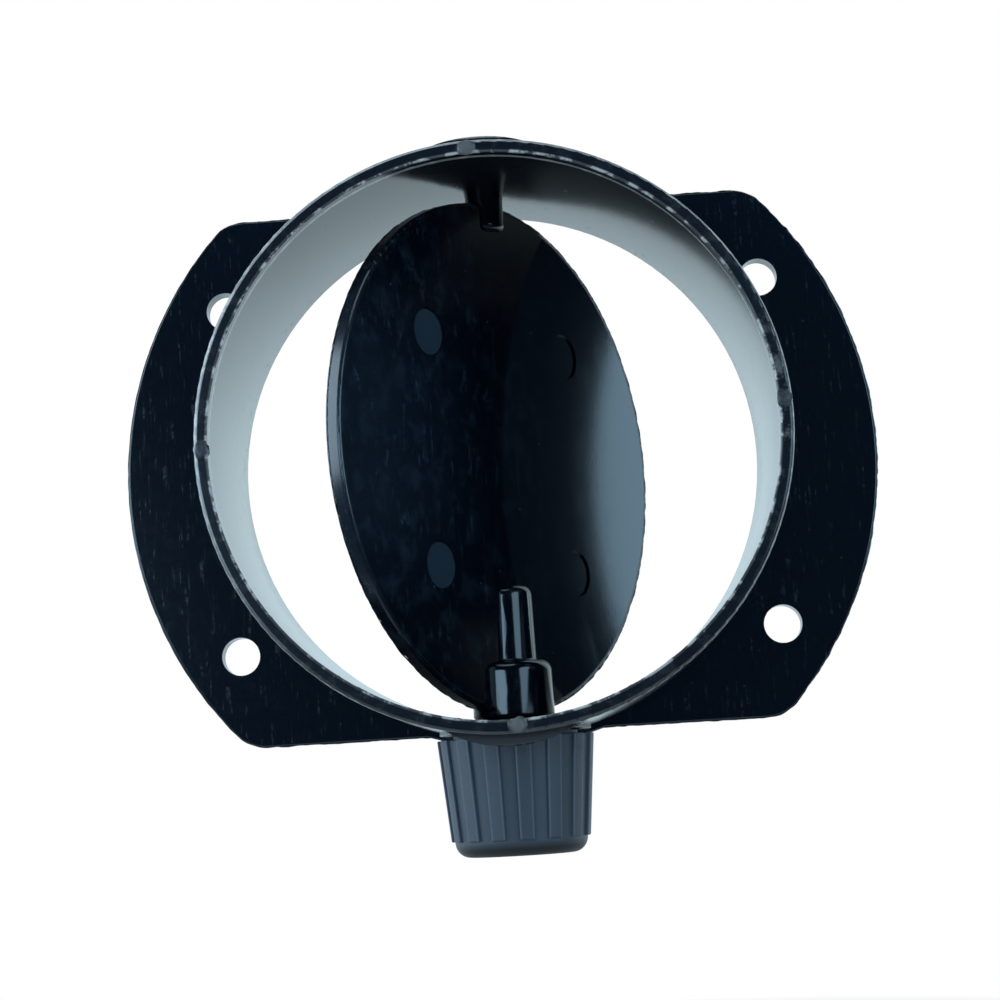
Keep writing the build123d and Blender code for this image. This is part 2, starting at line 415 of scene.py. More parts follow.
def add_axes(tree, vector):
    """A vector's three parts."""
    node = tree.nodes.new("ShaderNodeSeparateXYZ")
    tree.links.new(vector, node.inputs[0])
    return node.outputs


def add_range(tree, value, low, high, to_low=0.0, to_high=1.0):
    """A value spread from one range onto another, and clamped there."""
    node = tree.nodes.new("ShaderNodeMapRange")
    tree.links.new(value, node.inputs["Value"])
    node.inputs["From Min"].default_value = low
    node.inputs["From Max"].default_value = high
    node.inputs["To Min"].default_value = to_low
    node.inputs["To Max"].default_value = to_high
    return node.outputs["Result"]


def add_noise(tree, place, scale, detail, roughness=0.5):
    """Smooth noise over a place."""
    node = tree.nodes.new("ShaderNodeTexNoise")
    names = ("Vector", "Scale", "Detail", "Roughness")
    feed(tree, [node.inputs[name] for name in names], (place, scale, detail, roughness))
    return node.outputs["Fac"]


def add_mix(tree, factor, first, second):
    """A colour mixed from two colours, given as sockets or values."""
    node = tree.nodes.new("ShaderNodeMix")
    node.data_type = "RGBA"
    feed(tree, (node.inputs["Factor"], node.inputs[6], node.inputs[7]), (factor, first, second))
    return node.outputs[2]


def end_geometry(tree, geometry, given, made):
    """Ends a geometry tree in one real mesh with its material."""
    whole = tree.nodes.new("GeometryNodeRealizeInstances")
    tree.links.new(geometry, whole.inputs["Geometry"])
    painted = tree.nodes.new("GeometryNodeSetMaterial")
    tree.links.new(whole.outputs["Geometry"], painted.inputs["Geometry"])
    tree.links.new(given.outputs["Material"], painted.inputs["Material"])
    tree.links.new(painted.outputs["Geometry"], made.inputs["Geometry"])


def flash_tree():
    """Thin uneven flash along a path, as a worn mould leaves it."""
    tree, given, made = new_tree(
        "Moulding Flash", "GeometryNodeTree",
        [("Geometry", "NodeSocketGeometry"), ("Bead Radius", "NodeSocketFloat"),
         ("Point Spacing", "NodeSocketFloat"), ("Bumps per Metre", "NodeSocketFloat"),
         ("Waviness", "NodeSocketFloat"), ("Seed", "NodeSocketFloat"), ("Material", "NodeSocketMaterial")],
        [("Geometry", "NodeSocketGeometry")])
    link = tree.links.new
    path = tree.nodes.new("GeometryNodeMeshToCurve")
    link(given.outputs["Geometry"], path.inputs["Mesh"])
    even = tree.nodes.new("GeometryNodeResampleCurve")
    even.mode = "LENGTH"
    link(path.outputs["Curve"], even.inputs["Curve"])
    link(given.outputs["Point Spacing"], even.inputs["Length"])
    bumps = tree.nodes.new("ShaderNodeTexNoise")
    bumps.noise_dimensions = "4D"
    bumps.inputs["Detail"].default_value = 3.0
    link(given.outputs["Bumps per Metre"], bumps.inputs["Scale"])
    link(given.outputs["Seed"], bumps.inputs["W"])
    centred = add_vector(tree, "SUBTRACT", bumps.outputs["Color"], (0.5, 0.5, 0.5))
    moved = tree.nodes.new("GeometryNodeSetPosition")
    link(even.outputs["Curve"], moved.inputs["Geometry"])
    link(add_scaled(tree, centred, given.outputs["Waviness"]), moved.inputs["Offset"])
    section = tree.nodes.new("GeometryNodeCurvePrimitiveCircle")
    section.inputs["Resolution"].default_value = FLASH_SIDES
    link(given.outputs["Bead Radius"], section.inputs["Radius"])
    thickness = add_range(tree, bumps.outputs["Fac"], 0.32, 0.72, 0.25, 1.3)
    bead = tree.nodes.new("GeometryNodeCurveToMesh")
    link(moved.outputs["Geometry"], bead.inputs["Curve"])
    link(section.outputs["Curve"], bead.inputs["Profile Curve"])
    link(thickness, bead.inputs["Scale"])
    end_geometry(tree, bead.outputs["Mesh"], given, made)
    return tree


def rib_tree():
    """Copies of one rib, evenly round the knob's axis."""
    tree, given, made = new_tree(
        "Knob Ribs", "GeometryNodeTree",
        [("Geometry", "NodeSocketGeometry"), ("Count", "NodeSocketInt"),
         ("First Angle", "NodeSocketFloat"), ("Pivot", "NodeSocketVector"),
         ("Material", "NodeSocketMaterial")],
        [("Geometry", "NodeSocketGeometry")])
    link = tree.links.new
    points = tree.nodes.new("GeometryNodePoints")
    link(given.outputs["Count"], points.inputs["Count"])
    index = tree.nodes.new("GeometryNodeInputIndex")
    pitch = add_math(tree, "DIVIDE", math.tau, given.outputs["Count"])
    turn = add_math(tree, "MULTIPLY", index.outputs["Index"], pitch)
    turn = add_math(tree, "ADD", turn, given.outputs["First Angle"])
    about = tree.nodes.new("ShaderNodeCombineXYZ")
    link(turn, about.inputs["Z"])
    copies = tree.nodes.new("GeometryNodeInstanceOnPoints")
    link(points.outputs["Points"], copies.inputs["Points"])
    link(given.outputs["Geometry"], copies.inputs["Instance"])
    link(about.outputs["Vector"], copies.inputs["Rotation"])
    placed = tree.nodes.new("GeometryNodeTransform")
    link(copies.outputs["Instances"], placed.inputs["Geometry"])
    link(given.outputs["Pivot"], placed.inputs["Translation"])
    end_geometry(tree, placed.outputs["Geometry"], given, made)
    return tree


def surface_group():
    """Marks that moulded plastic picks up, worked out from a place in millimetres."""
    tree, given, made = new_tree(
        "Moulded Surface", "ShaderNodeTree",
        [("Place", "NodeSocketVector"), ("Grain Scale", "NodeSocketFloat"),
         ("Mottle Scale", "NodeSocketFloat"), ("Streak Stretch", "NodeSocketVector")],
        [("Grain", "NodeSocketFloat"), ("Mottle", "NodeSocketFloat"),
         ("Streaks", "NodeSocketFloat"), ("Specks", "NodeSocketFloat")])
    link = tree.links.new
    place = given.outputs["Place"]
    link(add_noise(tree, place, given.outputs["Grain Scale"], 2.0), made.inputs["Grain"])
    clouds = add_noise(tree, place, given.outputs["Mottle Scale"], 5.0, 0.62)
    link(add_range(tree, clouds, 0.5, 0.72), made.inputs["Mottle"])
    stretched = add_vector(tree, "MULTIPLY", place, given.outputs["Streak Stretch"])
    lines = add_range(tree, add_noise(tree, stretched, 1.0, 1.0), 0.61, 0.7)
    breaks = add_range(tree, add_noise(tree, place, 1.6, 3.0), 0.4, 0.62)
    link(add_math(tree, "MULTIPLY", lines, breaks), made.inputs["Streaks"])
    cells = tree.nodes.new("ShaderNodeTexVoronoi")
    cells.inputs["Scale"].default_value = 0.35
    link(place, cells.inputs["Vector"])
    near = add_range(tree, cells.outputs["Distance"], 0.075, 0.045)
    pick = tree.nodes.new("ShaderNodeSeparateColor")
    link(cells.outputs["Color"], pick.inputs["Color"])
    chosen = add_math(tree, "GREATER_THAN", pick.outputs["Red"], 0.72)
    link(add_math(tree, "MULTIPLY", near, chosen), made.inputs["Specks"])
    return tree


# Materials


def new_material(name):
    """A material, its tree, its principled shader and its place in millimetres."""
    material = bpy.data.materials.new(name)
    material.use_nodes = True
    tree = material.node_tree
    where = tree.nodes.new("ShaderNodeTexCoord")
    place = add_scaled(tree, where.outputs["Object"], 1.0 / MM)
    return material, tree, tree.nodes["Principled BSDF"], place


def add_surface(tree, place, grain_scale, mottle_scale, streak_stretch):
    """The shared surface marks, placed in a material with its own scales."""
    node = tree.nodes.new("ShaderNodeGroup")
    node.node_tree = bpy.data.node_groups.get("Moulded Surface") or surface_group()
    tree.links.new(place, node.inputs["Place"])
    node.inputs["Grain Scale"].default_value = grain_scale
    node.inputs["Mottle Scale"].default_value = mottle_scale
    node.inputs["Streak Stretch"].default_value = streak_stretch
    return node.outputs


def add_bump(tree, shader, height, strength, distance, normal=None):
    """A bump that shapes the shader's normal, on top of a normal that is given."""
    bump = tree.nodes.new("ShaderNodeBump")
    bump.inputs["Strength"].default_value = strength
    bump.inputs["Distance"].default_value = distance
    tree.links.new(height, bump.inputs["Height"])
    if normal:
        tree.links.new(normal, bump.inputs["Normal"])
    tree.links.new(bump.outputs["Normal"], shader.inputs["Normal"])


def tint(colour, share):
    """A colour made paler or darker by a share."""
    return tuple(min(1.0, part * share) for part in colour[:3]) + (1.0,)


def inner_line(tree, reach, y, mottle, settings):
    """Mask of the pale, broken line along the rim's inner edge, where it was trimmed."""
    rim = rim_level / MM
    off_line = add_offset(tree, reach, settings.bore_front_diameter / 2 / MM + 0.05)
    near = add_range(tree, off_line, 0.32, 0.14)
    front = add_range(tree, y, rim + 0.5, rim + 0.25)
    broken = add_range(tree, mottle, 0.0, 0.4, 0.12, 1.0)
    return add_chain(tree, "MULTIPLY", near, front, broken)


def rim_highlight(tree, reach, axes, mottle, settings):
    """Mask of the painted highlight on the rim's outer rounding, which narrows to the right and fades low
    down.
    """
    x, y, z = axes
    rounding = settings.rim_rounding / MM
    outwards = add_math(tree, "SUBTRACT", reach, settings.tube_diameter / 2 / MM - rounding)
    backwards = add_math(tree, "SUBTRACT", y, rim_level / MM)
    along = add_math(tree, "DIVIDE", add_math(tree, "ADD", outwards, backwards), 2 * rounding)
    start = add_range(tree, x, -25.0, 30.0, 0.1, 0.42)
    begun = add_range(tree, add_math(tree, "SUBTRACT", along, start), -0.05, 0.05)
    not_ended = add_range(tree, along, 0.98, 0.86)
    uneven = add_range(tree, mottle, 0.0, 0.4, 0.6, 0.95)
    upper = add_range(tree, z, -30.0, 0.0, 0.1, 1.0)
    return add_chain(tree, "MULTIPLY", begun, not_ended, uneven, upper)


def gate_mask(tree, place, settings):
    """Mask of the four broken-off gates."""
    distances = [add_vector(tree, "DISTANCE", place, centre / MM) for centre in gate_places(settings)]
    width = settings.gate_width / MM
    return add_range(tree, add_chain(tree, "MINIMUM", *distances), width * 0.55, width * 0.3)


def pad_highlight_mask(tree, place, z, settings):
    """Mask of the bearing pad's side, painted grey as a painted highlight."""
    across = add_reach(tree, add_vector(tree, "SUBTRACT", place, pivot / MM), (1.0, 1.0, 0.0))
    near = add_range(tree, add_offset(tree, across, settings.pad_diameter / 2 / MM), 0.12, 0.05)
    return add_math(tree, "MULTIPLY", near, add_range(tree, z, PAD_LEVEL, PAD_LEVEL - 0.2))


def body_material(settings):
    """Glossy near-black plastic: scratched on the flange, rough on the rim, pale where it was trimmed, with
    painted highlights on the rim's outer rounding and the pad's side.
    """
    material, tree, shader, place = new_material("duct_black")
    marks = add_surface(
        tree, place, grain_scale=2.6, mottle_scale=0.6, streak_stretch=(2.6, 0.4, 0.22))
    mottle = marks["Mottle"]
    axes = add_axes(tree, place)
    x, y, z = axes
    rim = rim_level / MM
    inner = settings.bore_front_diameter / 2 / MM
    flange_front = -settings.flange_thickness / MM
    reach = add_reach(tree, place, (1.0, 0.0, 1.0))
    on_flange = add_range(tree, y, flange_front - 1.5, flange_front - 0.2)
    on_rim = add_range(tree, y, rim + 0.12, rim + 0.04)
    in_bore = add_range(tree, reach, inner + 0.1, inner + 0.02)
    gate = gate_mask(tree, place, settings)
    pad = pad_highlight_mask(tree, place, z, settings)
    scratches = add_math(tree, "MULTIPLY", marks["Streaks"], on_flange)
    scratches = add_math(tree, "MAXIMUM", scratches, marks["Specks"])

    # Pale places: the rim's trimmed inner edge, the torn gates and the dust about the right gate; and
    # painted highlights on the rim's outer rounding and the pad's side
    no_gate = add_math(tree, "SUBTRACT", 1.0, gate)
    trimmed = add_math(tree, "MULTIPLY", inner_line(tree, reach, y, mottle, settings), no_gate)
    aside = add_math(tree, "ABSOLUTE", x)
    torn = add_math(tree, "MULTIPLY", gate, add_range(tree, aside, 10.0, 30.0, 0.22, 0.06))
    # Painted highlight along the rim's outer rounding, brighter higher up
    rounded = rim_highlight(tree, reach, axes, mottle, settings)
    # Painted highlight on the pad's side
    highlit = add_math(tree, "MULTIPLY", pad, 0.55)
    from_right = add_vector(tree, "DISTANCE", place, gate_places(settings)[-1] / MM)
    dust = add_math(tree, "MULTIPLY", mottle, add_range(tree, from_right, 12.0, 4.0, 0.035, 0.3))
    dusty = add_math(tree, "MULTIPLY", on_rim, add_math(tree, "ADD", dust, 0.004))
    pale = add_chain(tree, "MAXIMUM", trimmed, torn, rounded, highlit, dusty)
    scratched = add_math(tree, "MULTIPLY", scratches, 0.2)
    base = add_mix(tree, scratched, settings.colour, settings.scratch_colour)
    tree.links.new(add_mix(tree, pale, base, settings.trim_and_highlight_colour), shader.inputs["Base Color"])

    matt = add_math(tree, "MAXIMUM", gate, pad)
    rough = add_weighted(
        tree, 0.14, (mottle, 0.03), (scratches, 0.15), (on_rim, 0.12), (in_bore, 0.025), (matt, 0.2))
    tree.links.new(rough, shader.inputs["Roughness"])
    shader.inputs["Specular IOR Level"].default_value = 0.62
    polished = add_math(tree, "MULTIPLY", in_bore, add_range(tree, z, 26.0, 4.0, 0.0, 0.4))
    tree.links.new(polished, shader.inputs["Coat Weight"])
    shader.inputs["Coat Roughness"].default_value = 0.12

    # The bore's wall bellies in a little between its ends
    belly = math.tan(settings.bore_belly)
    lean = add_math(tree, "MULTIPLY", in_bore, add_range(tree, y, rim, 0.0, -belly, belly))
    tilt = tree.nodes.new("ShaderNodeCombineXYZ")
    tree.links.new(lean, tilt.inputs["Y"])
    geometry = tree.nodes.new("ShaderNodeNewGeometry")
    leaning = add_vector(tree, "ADD", geometry.outputs["Normal"], tilt.outputs["Vector"])
    leaning = add_vector(tree, "NORMALIZE", leaning)
    add_bump(tree, shader, marks["Grain"], 0.05, 0.02 * MM, leaning)
    return material


def flap_directions(open_angle):
    """Directions along the open flap and out of its front face."""
    along = Vector((math.cos(open_angle), math.sin(open_angle), 0.0))
    outward = Vector((math.sin(open_angle), -math.cos(open_angle), 0.0))
    return along, outward


def flap_material(settings):
    """Glossy black plastic with upright scuffs, specks, and ejector marks that get a painted sheen, strong
    on the left.
    """
    material, tree, shader, place = new_material("flap_black")
    marks = add_surface(
        tree, place, grain_scale=2.2, mottle_scale=0.3, streak_stretch=(0.9, 0.9, 0.3))
    mottle = marks["Mottle"]
    along, outward = flap_directions(settings.open_angle)
    centred = add_vector(tree, "SUBTRACT", place, pivot / MM)
    across = add_vector(tree, "DOT_PRODUCT", centred, along)
    off_plane = add_math(tree, "ABSOLUTE", add_vector(tree, "DOT_PRODUCT", centred, outward))
    z = add_axes(tree, centred)["Z"]
    off_middle = add_math(tree, "ABSOLUTE", z)

    # The four ejector marks, the bosses and the rounded edge
    half = settings.mark_spacing / 2 / MM
    aside = add_math(tree, "SUBTRACT", add_math(tree, "ABSOLUTE", across), half)
    above = add_math(tree, "SUBTRACT", off_middle, half)
    radius = settings.mark_diameter / 2 / MM
    mark = add_range(tree, add_slant(tree, aside, above), radius, radius - 0.25)
    proud = settings.thickness / 2 / MM
    boss = add_range(tree, off_plane, proud + 0.05, proud + 0.25)
    width = settings.diameter / MM
    rounded = width / 2 - 0.6
    edge = add_range(tree, add_slant(tree, across, z), rounded - 0.2, rounded)
    edge = add_math(tree, "MULTIPLY", edge, add_math(tree, "SUBTRACT", 1.0, boss))

    # Scuffs that fade to the right, with a thin veil over the left
    front_half = add_range(tree, across, width * 0.32, -width * 0.25)
    scuffs = add_math(tree, "MULTIPLY_ADD", mottle, 0.65, marks["Streaks"])
    scuffs = add_chain(tree, "MULTIPLY", scuffs, front_half, 0.5)
    veil = add_range(tree, across, -4.0, -26.0)
    veil = add_math(tree, "MULTIPLY", veil, add_range(tree, off_middle, 26.0, 8.0))
    scuffs = add_math(tree, "MULTIPLY_ADD", veil, 0.3, scuffs)
    # Painted sheen on the ejector marks, strong on the left and faint on the right
    mark_sheen = add_math(tree, "MULTIPLY", mark, add_range(tree, across, -10.0, 10.0, 0.9, 0.12))
    scuffs = add_chain(tree, "MAXIMUM", scuffs, mark_sheen, marks["Specks"])
    # The scuffs mask now also holds the ejector marks' painted sheen
    base = add_mix(tree, scuffs, settings.colour, settings.scuff_and_sheen_colour)
    tree.links.new(base, shader.inputs["Base Color"])
    rough = add_weighted(tree, 0.055, (mottle, 0.008), (boss, 0.07), (edge, 0.16))
    tree.links.new(rough, shader.inputs["Roughness"])
    shader.inputs["Specular IOR Level"].default_value = 0.65
    add_bump(tree, shader, marks["Grain"], 0.05, 0.02 * MM)
    return material


def knob_material(settings, open_angle):
    """Satin blue-grey plastic with a fine grain, a painted highlight on the ribs' edges, and painted shade
    that darkens the smooth ring under the ribs towards the bottom.
    """
    material, tree, shader, place = new_material("knob_grey")
    marks = add_surface(
        tree, place, grain_scale=5.0, mottle_scale=0.3, streak_stretch=(1.2, 1.2, 0.06))
    paler = tint(settings.colour, 1.35)
    darker = tint(settings.colour, 0.82)
    edge_highlight_colour = tint(settings.colour, 2.2)
    underside_shade_colour = tint(settings.colour, 0.08)
    uneven = add_mix(tree, marks["Grain"], darker, paler)
    worn = add_mix(tree, add_math(tree, "MULTIPLY", marks["Streaks"], 0.35), uneven, paler)

    # The ribs' edges, painted pale as a painted highlight
    level = add_axes(tree, place)["Z"]
    x, y, _ = add_axes(tree, add_vector(tree, "SUBTRACT", place, pivot / MM))
    pitch = math.tau / settings.rib_count
    width = pitch - settings.groove_angle
    rib_middle = open_angle + settings.rib_phase + width / 2
    edge_inset = 0.012
    turn = add_math(tree, "SUBTRACT", add_math(tree, "ARCTAN2", y, x), rib_middle)
    off_middle = add_math(tree, "ABSOLUTE", add_math(tree, "WRAP", turn, -pitch / 2, pitch / 2))
    near_edge = add_range(tree, add_offset(tree, off_middle, width / 2 - edge_inset), 0.022, 0.008)
    rib_end = (knob_low.z + settings.rib_end_height) / MM
    on_rib = add_range(tree, level, rib_end - 0.05, rib_end + 0.2)
    highlit = add_chain(tree, "MULTIPLY", near_edge, on_rib, 0.55)
    # From here the worn colour also holds the painted highlight on the ribs' edges
    worn = add_mix(tree, highlit, worn, edge_highlight_colour)
    # Painted shade: the smooth ring under the ribs grows darker towards the knob's bottom
    underside_shade = add_range(tree, level, rib_end - 0.2, knob_low.z / MM + 0.9)
    tree.links.new(add_mix(tree, underside_shade, worn, underside_shade_colour), shader.inputs["Base Color"])
    rough = add_weighted(tree, 0.46, (marks["Mottle"], 0.1))
    tree.links.new(rough, shader.inputs["Roughness"])
    shader.inputs["Specular IOR Level"].default_value = 0.5
    add_bump(tree, shader, marks["Grain"], 0.25, 0.04 * MM)
    return material


def screw_material(settings):
    """Plated steel, a little dull."""
    material, tree, shader, place = new_material("screw_plating")
    marks = add_surface(
        tree, place, grain_scale=3.0, mottle_scale=0.8, streak_stretch=(2.0, 2.0, 2.0))
    base = add_mix(tree, marks["Grain"], settings.colour, tint(settings.colour, 0.7))
    tree.links.new(base, shader.inputs["Base Color"])
    shader.inputs["Metallic"].default_value = 1.0
    rough = add_weighted(tree, 0.3, (marks["Mottle"], 0.2))
    tree.links.new(rough, shader.inputs["Roughness"])
    add_bump(tree, shader, marks["Grain"], 0.1, 0.02 * MM)
    return material


# Pieces


def add_flash(bm, points, material, radius, seed, waviness, bumps):
    """Lays flash along a closed path, in the same mesh as the moulding that it edges."""
    tree = bpy.data.node_groups.get("Moulding Flash") or flash_tree()
    add_from_tree(bm, loop_object("flash_path", points), tree, {
        "Bead Radius": radius, "Point Spacing": FLASH_SPACING, "Bumps per Metre": bumps,
        "Waviness": waviness, "Seed": seed, "Material": material})


def gate_places(settings):
    """Middles of the four broken-off gates, on the rim's face."""
    radius = (settings.bore_front_diameter + settings.tube_diameter) / 4 - 0.2 * MM
    turns = [math.radians(angle) for angle in GATE_ANGLES]
    return [Vector((radius * math.cos(turn), rim_level, radius * math.sin(turn))) for turn in turns]


def add_gate_mark(bm, centre, settings, seed):
    """A broken-off gate on the rim: a low lump, a little torn."""
    tear_depth = 0.22
    tear_scale = 1.5
    ball = bmesh.ops.create_icosphere(bm, subdivisions=4, radius=1.0)
    outward = Vector((centre.x, 0.0, centre.z)).normalized()
    along = Vector((-outward.z, 0.0, outward.x))
    for vert in ball["verts"]:
        tear = noise.noise(vert.co * tear_scale + Vector((seed, 0.0, 0.0)))
        point = vert.co * (1.0 + tear_depth * tear)
        vert.co = (centre + along * (point.x * settings.gate_width / 2)
                   + outward * (point.z * settings.gate_width * 0.38)
                   + Vector((0.0, point.y * settings.gate_height, 0.0)))


def flange_outline(settings, level):
    """The flange's edge: two wide arcs, four rounded corners and two flats."""
    corner = settings.flange_corner
    high = settings.flange_flat - corner
    wide = math.sqrt((flange_radius - corner) ** 2 - high ** 2)
    bend = math.atan2(high, wide)
    upper = arc((0, 0), flange_radius, 0, bend, 60)
    upper += arc((wide, high), corner, bend, math.pi / 2, 14)[1:]
    top = upper + [(-x, z) for x, z in reversed(upper)]
    bottom = [(x, -z) for x, z in reversed(top)][1:-1]
    return [Vector((x, level, z)) for x, z in top + bottom]


class DUCT_OT_body(bpy.types.Operator):
    """Dress the duct body with its flash, gate marks and gloss"""

    bl_idname = "duct.body"
    bl_label = "Duct Body"

    def execute(self, context):
        settings = context.scene.duct_body
        material = body_material(settings)
        bm = solid_copy("duct_body")
        inner = settings.bore_front_diameter / 2 + 0.1 * MM
        level = rim_level + 0.08 * MM
        rim = [Vector((inner * c, level, inner * s)) for c, s in circle_points()]
        add_flash(bm, rim, material, settings.rim_flash, seed=1.0, waviness=0.25 * MM, bumps=900.0)
        edge = flange_outline(settings, -settings.flange_thickness + 0.3 * MM)
        add_flash(bm, edge, material, settings.edge_flash, seed=2.0, waviness=0.18 * MM, bumps=600.0)
        for number, centre in enumerate(gate_places(settings)):
            add_gate_mark(bm, centre, settings, seed=3.7 * number)
        finish_piece(bm, "duct_body_moulding", material, "duct", "duct_body")
        return {"FINISHED"}


class DUCT_OT_flap(bpy.types.Operator):
    """Dress the butterfly flap with its flash, scuffs and gloss"""

    bl_idname = "duct.flap"
    bl_label = "Butterfly Flap"

    def execute(self, context):
        settings = context.scene.duct_flap
        material = flap_material(settings)
        bm = solid_copy("butterfly_flap")
        along, outward = flap_directions(settings.open_angle)
        upward = Vector((0.0, 0.0, 1.0))
        radius = settings.diameter / 2 - 0.12 * MM
        for seed, side, share in ((5.0, -1.0, 1.0), (6.0, 1.0, 0.55)):
            middle = pivot + outward * (side * (settings.thickness / 2 - 0.15 * MM))
            edge = [middle + along * (radius * c) + upward * (radius * s) for c, s in circle_points()]
            bead = settings.edge_flash * share
            add_flash(bm, edge, material, bead, seed, waviness=0.35 * MM * share, bumps=700.0)
        finish_piece(
            bm, "butterfly_flap_moulding", material, "flap", "butterfly_flap")
        return {"FINISHED"}


class DUCT_OT_knob(bpy.types.Operator):
    """Build the ribbed knob with its collar, spindle and screw recess"""

    bl_idname = "duct.knob"
    bl_label = "Control Knob"

    def execute(self, context):
        settings = context.scene.duct_knob
        turn = context.scene.duct_flap.open_angle
        material = knob_material(settings, turn)
        bm = bmesh.new()
        self.add_core(bm, settings, turn)
        tree = bpy.data.node_groups.get("Knob Ribs") or rib_tree()
        add_from_tree(bm, self.one_rib(settings), tree, {
            "Count": settings.rib_count, "First Angle": turn + settings.rib_phase, "Pivot": pivot,
            "Material": material})
        finish_piece(bm, "control_knob_moulding", material, "flap", "control_knob")
        return {"FINISHED"}

    def core_radius(self, settings, height):
        """Radius between the ribs at a height above the knob's bottom."""
        drop = settings.height - height
        return settings.top_diameter / 2 - settings.rib_height - drop * math.tan(settings.taper)

    def core_section(self, settings):
        """The turned shape's corners, as radius and level, and the rows that have the spindle's flats."""
        bottom = knob_low.z
        top = bottom + settings.height
        chamfer = 0.2 * MM
        recess = settings.counterbore_diameter / 2
        section = [(recess, bottom + chamfer), (recess + chamfer, bottom)]
        rounding = settings.bottom_radius
        middle = (self.core_radius(settings, rounding) - rounding, bottom + rounding)
        section += arc(middle, rounding, -math.pi / 2, -settings.taper, 10)
        top_radius = self.core_radius(settings, settings.height)
        section += [(top_radius - chamfer * math.sin(settings.taper), top - chamfer)]
        section += [(top_radius - chamfer, top)]
        collar = settings.collar_diameter / 2
        collar_top = top + settings.collar_height
        section += [(collar, top), (collar, collar_top - chamfer / 2), (collar - chamfer / 2, collar_top)]
        spindle = settings.spindle_diameter / 2
        shoulder = top + settings.spindle_shoulder
        section += [(spindle, collar_top), (spindle, shoulder)]
        flat_start = len(section)
        section += [(spindle, shoulder), (spindle, knob_high.z)]
        flat_rows = range(flat_start, len(section))
        hole = settings.screw_hole_diameter / 2
        seat = top - settings.seat_thickness
        section += [(hole, knob_high.z), (hole, seat), (recess, seat)]
        return section, flat_rows

    def add_core(self, bm, settings, turn, segments=180):
        """The turned shape of the knob, round its axis, with flats on the spindle's end."""
        section, flat_rows = self.core_section(settings)
        rings = []
        for row, (radius, level) in enumerate(section):
            ring = []
            for k in range(segments):
                angle = math.tau * k / segments
                rise = abs(math.sin(angle))
                reach = radius
                if row in flat_rows and rise > 1e-6:
                    reach = min(radius, settings.spindle_flats / 2 / rise)
                x = pivot.x + reach * math.cos(angle + turn)
                y = pivot.y + reach * math.sin(angle + turn)
                ring.append(bm.verts.new((x, y, level)))
            rings.append(ring)
        for ring, after in zip(rings, rings[1:] + rings[:1]):
            join_rings(bm, ring, after)
        bmesh.ops.remove_doubles(bm, verts=bm.verts, dist=0.001 * MM)
        bmesh.ops.recalc_face_normals(bm, faces=bm.faces)

    def one_rib(self, settings):
        """One rib with rounded edges, its first side at angle zero about the knob's axis."""
        bottom = knob_low.z
        low = bottom + settings.rib_end_height
        top = bottom + settings.height
        rounding = settings.rib_rounding
        width = math.tau / settings.rib_count - settings.groove_angle
        rows = [(low, rounding), (low + rounding * 0.3, rounding * 0.3), (low + rounding, 0.0)]
        rows += [(top - rounding, 0.0), (top - rounding * 0.3, rounding * 0.3), (top, rounding)]
        bm = bmesh.new()
        rings = []
        for level, inset in rows:
            core = self.core_radius(settings, level - bottom)
            outer = core + settings.rib_height - inset
            slope = rounding / outer
            side = [(0.0, core - settings.rib_height)]
            side += [(slope * (1 - math.cos(a)), outer - rounding * (1 - math.sin(a)))
                     for a in (0, math.pi / 6, math.pi / 3, math.pi / 2)]
            middle = [(width * share, outer) for share in (0.3, 0.5, 0.7)]
            other = [(width - angle, radius) for angle, radius in reversed(side)]
            rings.append([
                bm.verts.new((r * math.cos(a), r * math.sin(a), level)) for a, r in side + middle + other])
        for ring, after in zip(rings, rings[1:]):
            join_rings(bm, ring, after)
        bm.faces.new(reversed(rings[0]))
        bm.faces.new(rings[-1])
        bmesh.ops.recalc_face_normals(bm, faces=bm.faces)
        return new_object("knob_rib", take_mesh(bm, "knob_rib"))


class DUCT_OT_screw(bpy.types.Operator):
    """Give the retaining screw its plated steel"""

    bl_idname = "duct.screw"
    bl_label = "Retaining Screw"

    def execute(self, context):
        screw = frame["nodes"]["retaining_screw"]
        screw.data.materials.clear()
        screw.data.materials.append(screw_material(context.scene.duct_screw))
        return {"FINISHED"}


